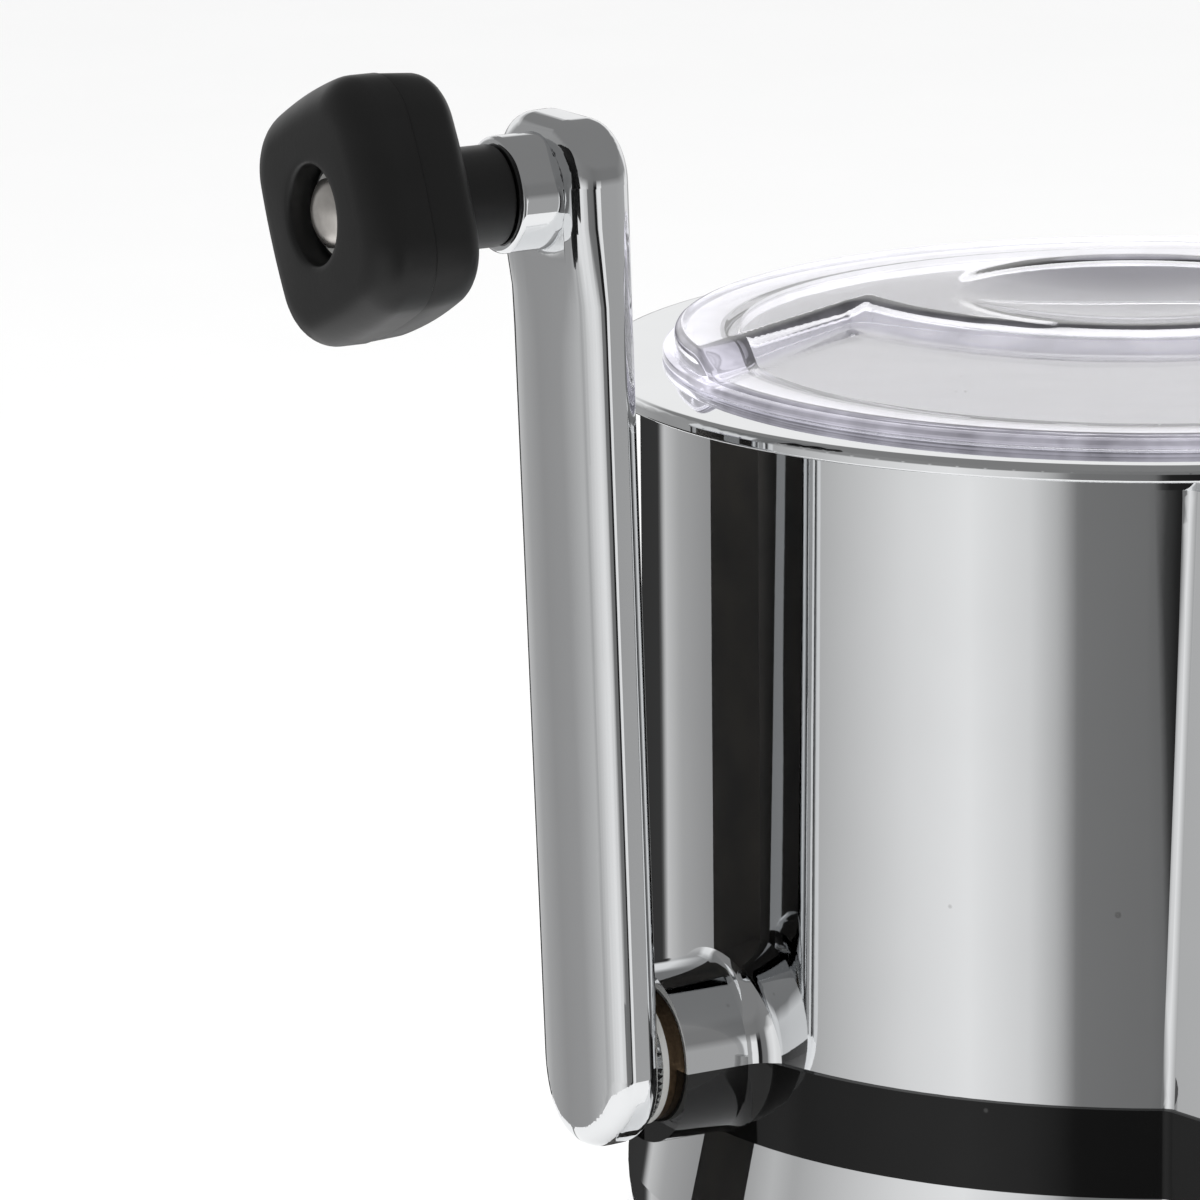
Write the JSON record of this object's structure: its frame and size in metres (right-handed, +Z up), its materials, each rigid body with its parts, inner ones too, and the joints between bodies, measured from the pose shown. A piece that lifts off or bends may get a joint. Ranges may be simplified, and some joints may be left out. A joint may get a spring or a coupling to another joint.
{
  "type": "hand crank ice crusher",
  "caption": "Hand crank ice crusher: chromed two-part body with black band, side crank with black knob, spiked rotor and comb inside, and a clear lift-off lid.",
  "frame": {"origin": "on the body's axis, at the face it stands on", "axes": "+Z up along the body's axis, -X towards the crank along the shaft, -Y and +Y towards the two ribs"},
  "size_m": [0.1958, 0.1582, 0.2827],
  "materials": {
    "chrome": "mirror chrome plate, polished",
    "arm_chrome": "polished chrome plate on a casting",
    "band_black": "high gloss black",
    "knob_black": "satin black",
    "lid_clear": "clear, slightly violet",
    "screw_steel": "bright turned steel",
    "blade_steel": "stamped stainless steel",
    "bush_bronze": "sintered bronze",
    "hopper_grey": "light grey moulded",
    "washer_white": "white acetal",
    "plate_black": "black moulded, fine grain",
    "rubber": "black rubber"
  },
  "bodies": {
    "base": {"base_container": "chrome", "base_plate": "plate_black", "base_screws": "screw_steel", "foot_pad": "rubber"},
    "head": {"upper_housing": "chrome", "mid_frame": "band_black", "hopper_liner": "hopper_grey", "fixed_comb": "blade_steel", "comb_screws": "screw_steel", "boss_bush": "bush_bronze", "left_bush": "bush_bronze", "right_bush": "bush_bronze", "housing_screws": "screw_steel", "container_seal": "rubber"},
    "lid": {"lid": "lid_clear"},
    "crank": {"drive_shaft": "blade_steel", "rotor_wheels": "blade_steel", "rotor_spacers": "blade_steel", "shaft_clips": "screw_steel", "thrust_washer": "washer_white", "crank_arm": "arm_chrome", "arm_set_screw": "screw_steel", "knob_ferrule": "arm_chrome", "knob_pin": "screw_steel"},
    "knob": {"knob": "knob_black", "knob_washer": "washer_white"}
  },
  "joints": [
    {"name": "head_lift", "type": "slide", "parent": "base", "child": "head", "axis": [0, 0, 1], "range_m": [0, 0.16]},
    {"name": "lid_lift", "type": "slide", "parent": "head", "child": "lid", "axis": [0, 0, 1], "range_m": [0, 0.06]},
    {"name": "crank_spin", "type": "hinge", "parent": "head", "child": "crank", "pos_m": [0, 0, 0.152], "axis": [1, 0, 0], "continuous": true},
    {"name": "knob_spin", "type": "hinge", "parent": "crank", "child": "knob", "pos_m": [-0.1, 0, 0.26544], "axis": [1, 0, 0], "continuous": true}
  ]
}
